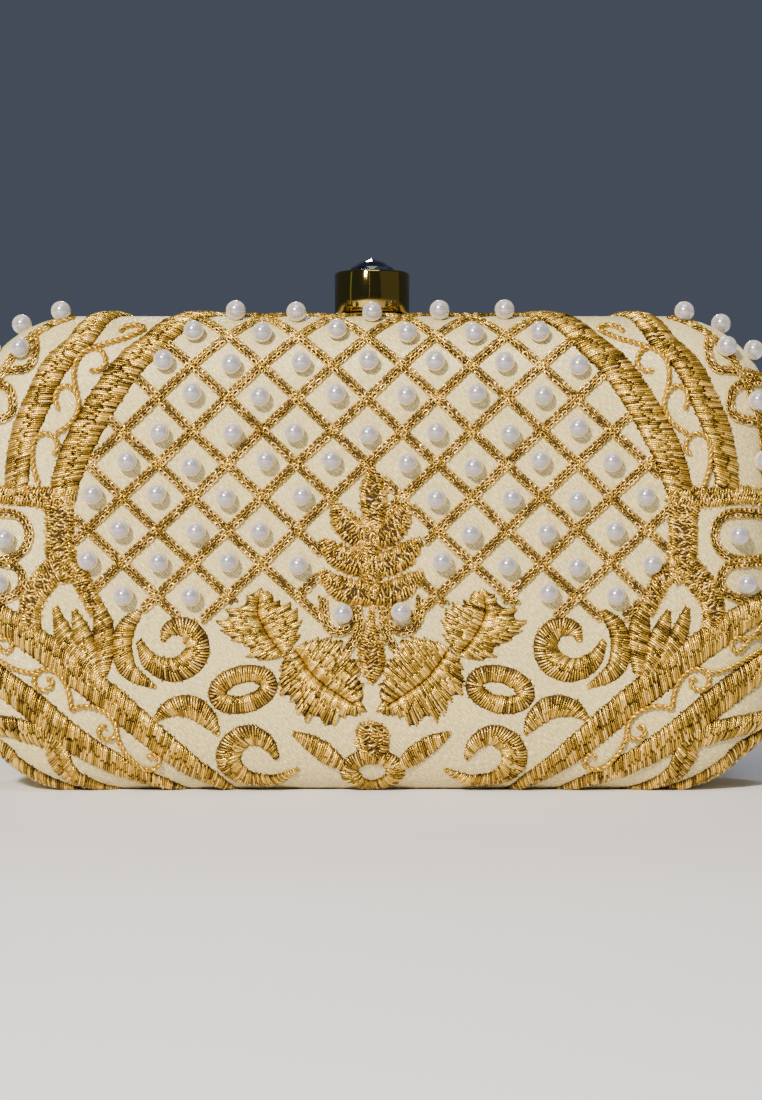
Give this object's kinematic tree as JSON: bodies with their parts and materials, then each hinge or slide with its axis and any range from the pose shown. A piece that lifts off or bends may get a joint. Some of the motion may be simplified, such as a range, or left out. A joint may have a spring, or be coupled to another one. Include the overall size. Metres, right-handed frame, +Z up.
{
  "type": "evening bag",
  "caption": "Hard-shell evening clutch with an embroidered front, bottom hinges, a rim frame and a push-button knob that frees the catch.",
  "frame": {"origin": "on the surface the bag stands on, under the middle of the bag", "axes": "+X across the bag to its right seen from the front, +Y to the back, +Z up; the embroidered front faces -Y"},
  "size_m": [0.182, 0.054, 0.122],
  "materials": {
    "front_satin": "ivory satin with gold thread embroidery",
    "rear_satin": "plain ivory satin",
    "shell_board": "moulded shell, matt",
    "lining_cloth": "champagne lining cloth",
    "frame_gold": "pale gold plate, polished",
    "knob_gold": "pale champagne gold plate, mirror polished",
    "lock_steel": "plain steel",
    "crystal": "faceted glass stone with a foiled back"
  },
  "bodies": {
    "rear_half": {"rear_cover": "rear_satin", "rear_shell": "shell_board", "rear_lining": "lining_cloth", "rear_pocket": "lining_cloth", "rear_frame": "frame_gold", "hinge_leaf_rear_left": "frame_gold", "hinge_leaf_rear_right": "frame_gold", "hinge_pin_left": "lock_steel", "hinge_pin_right": "lock_steel", "lock_case": "lock_steel", "lock_screw_left": "lock_steel", "lock_screw_right": "lock_steel", "knob_base": "frame_gold", "knob_sleeve": "knob_gold", "chain_eye_left": "frame_gold", "chain_eye_right": "frame_gold"},
    "front_half": {"front_cover": "front_satin", "front_shell": "shell_board", "front_lining": "lining_cloth", "front_frame": "frame_gold", "hinge_leaf_front_left": "frame_gold", "hinge_leaf_front_right": "frame_gold", "catch_fork": "lock_steel", "catch_rivet_left": "frame_gold", "catch_rivet_right": "frame_gold"},
    "push_button": {"button_cap": "knob_gold", "crystal": "crystal", "plunger": "lock_steel", "latch_bar": "lock_steel", "plunger_clip": "lock_steel", "button_spring": "lock_steel"}
  },
  "joints": [
    {"name": "front_hinge", "type": "hinge", "parent": "rear_half", "child": "front_half", "pos_m": [0, 0, 0.00145], "axis": [1, 0, 0], "range_deg": [0, 60]},
    {"name": "button_press", "type": "slide", "parent": "rear_half", "child": "push_button", "axis": [0, 0, -1], "range_m": [0, 0.0025], "stiffness_N_per_m": 1200, "springref_m": -0.0015, "deforming": ["button_spring"]}
  ]
}
